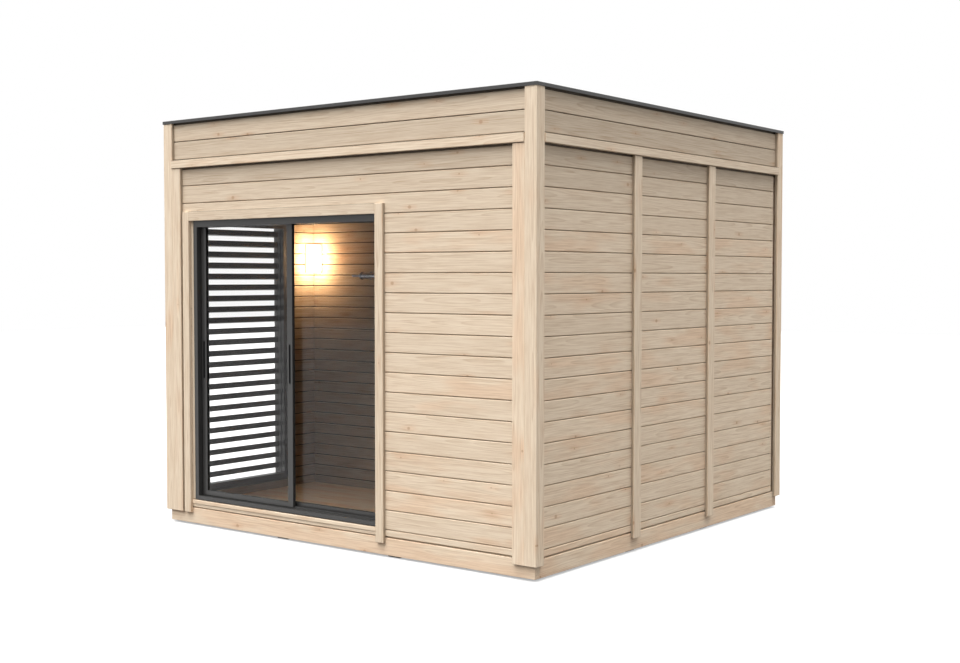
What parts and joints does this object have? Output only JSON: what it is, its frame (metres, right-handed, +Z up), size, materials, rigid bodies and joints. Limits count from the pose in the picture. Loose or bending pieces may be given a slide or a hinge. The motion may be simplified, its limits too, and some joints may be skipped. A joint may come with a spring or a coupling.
{
  "type": "outdoor sauna cabin",
  "caption": "Square timber-clad sauna cabin with a flat coped roof, a sliding glazed front door, a side window with a slatted louvre and an inner partition.",
  "frame": {"origin": "centre of the cabin's plan at ground level, under the support pads", "axes": "+Z up, the front with the sliding door faces -Y, +X to the right seen from the front"},
  "size_m": [3.036, 3.036, 2.668],
  "materials": {
    "cladding_timber": "untreated pale softwood boards, sawn, fine grain",
    "trim_timber": "untreated pale softwood, planed",
    "lining_timber": "tongue and groove lining boards, planed",
    "floor_timber": "planed floor boards",
    "coping_metal": "dark grey matt coated sheet",
    "door_metal": "dark grey satin powder coat",
    "louvre_metal": "dark grey matt powder coat",
    "pull_black": "matt black moulded tray",
    "door_glass": "clear glass with a light neutral tint",
    "roof_felt": "dark roofing membrane",
    "pad_rubber": "dense levelling pads",
    "lamp_timber": "pale lamp back board",
    "lamp_glow": "warm frosted lamp shade",
    "fitting_chrome": "polished"
  },
  "bodies": {
    "cabin": {"support_pads": "pad_rubber", "plinth_boards": "cladding_timber", "floor_deck": "floor_timber", "front_wall_left": "cladding_timber", "front_wall_right": "cladding_timber", "front_wall_over_door": "cladding_timber", "right_wall": "cladding_timber", "back_wall": "cladding_timber", "left_wall_front": "cladding_timber", "left_wall_rear": "cladding_timber", "left_wall_over_window": "cladding_timber", "left_wall_under_window": "cladding_timber", "partition_left": "lining_timber", "partition_right": "lining_timber", "partition_over_doorway": "lining_timber", "roof_deck": "lining_timber", "roof_upstands": "trim_timber", "roof_membrane": "roof_felt", "fascia_boards": "cladding_timber", "trim_bands": "trim_timber", "roof_coping": "coping_metal", "corner_posts": "trim_timber", "front_edge_boards": "trim_timber", "wall_battens": "trim_timber", "door_casing_sides": "trim_timber", "door_casing_head": "trim_timber", "door_lining": "trim_timber", "door_sill": "trim_timber", "door_frame_jambs": "door_metal", "door_frame_head": "door_metal", "door_frame_track": "door_metal", "fixed_leaf_stiles": "door_metal", "fixed_leaf_rails": "door_metal", "fixed_leaf_glass": "door_glass", "window_stiles": "door_metal", "window_rails": "door_metal", "window_glass": "door_glass", "window_louvre": "louvre_metal", "wall_lamp_base": "lamp_timber", "wall_lamp_shade": "lamp_glow", "wall_fitting": "fitting_chrome"},
    "sliding_leaf": {"sliding_leaf_stiles": "door_metal", "sliding_leaf_rails": "door_metal", "sliding_leaf_glass": "door_glass", "sliding_leaf_handles": "pull_black"}
  },
  "joints": [
    {"name": "door_slide", "type": "slide", "parent": "cabin", "child": "sliding_leaf", "axis": [1, 0, 0], "range_m": [0, 0.7]}
  ]
}
